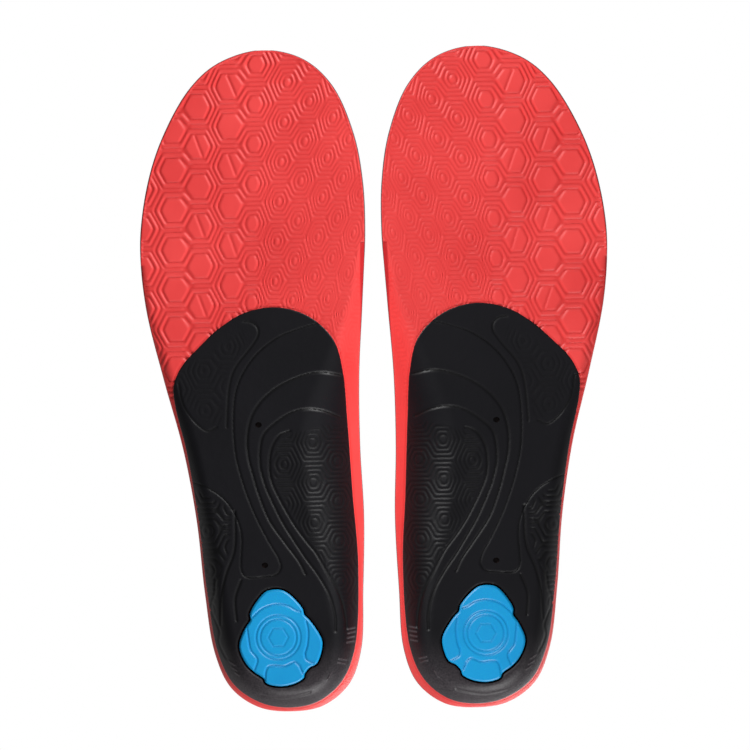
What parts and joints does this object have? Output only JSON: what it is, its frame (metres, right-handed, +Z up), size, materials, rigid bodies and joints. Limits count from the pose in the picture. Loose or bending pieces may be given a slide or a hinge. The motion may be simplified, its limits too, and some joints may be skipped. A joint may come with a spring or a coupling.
{
  "type": "cushioned insole",
  "caption": "Pair of cushioned insoles: textile cover and comfort foam on a moulded foam base with heel cup, arch support, stabiliser shell, torsion plate and gel heel pad.",
  "frame": {"origin": "middle of the pair's box, on the ground plane that the forefoot and heel undersides share", "axes": "+Y from heel to toes, +Z up through the foot bed, +X towards the right foot's insole; X = 0 is the mirror plane between the two insoles"},
  "size_m": [0.193, 0.275, 0.024],
  "materials": {
    "top_cover": "charcoal knit",
    "comfort_foam": "dark soft foam",
    "base_foam": "red moulded foam, satin skin with embossed hexagons",
    "stabiliser_shell": "black moulded thermoplastic, satin",
    "torsion_plate": "black moulded thermoplastic, satin",
    "heel_pad": "blue gel, satin"
  },
  "bodies": {
    "root": {"right_top_cover": "top_cover", "right_comfort_foam": "comfort_foam", "right_base_foam": "base_foam", "right_stabiliser_shell": "stabiliser_shell", "right_torsion_plate": "torsion_plate", "right_heel_pad": "heel_pad", "left_top_cover": "top_cover", "left_comfort_foam": "comfort_foam", "left_base_foam": "base_foam", "left_stabiliser_shell": "stabiliser_shell", "left_torsion_plate": "torsion_plate", "left_heel_pad": "heel_pad"}
  },
  "joints": []
}
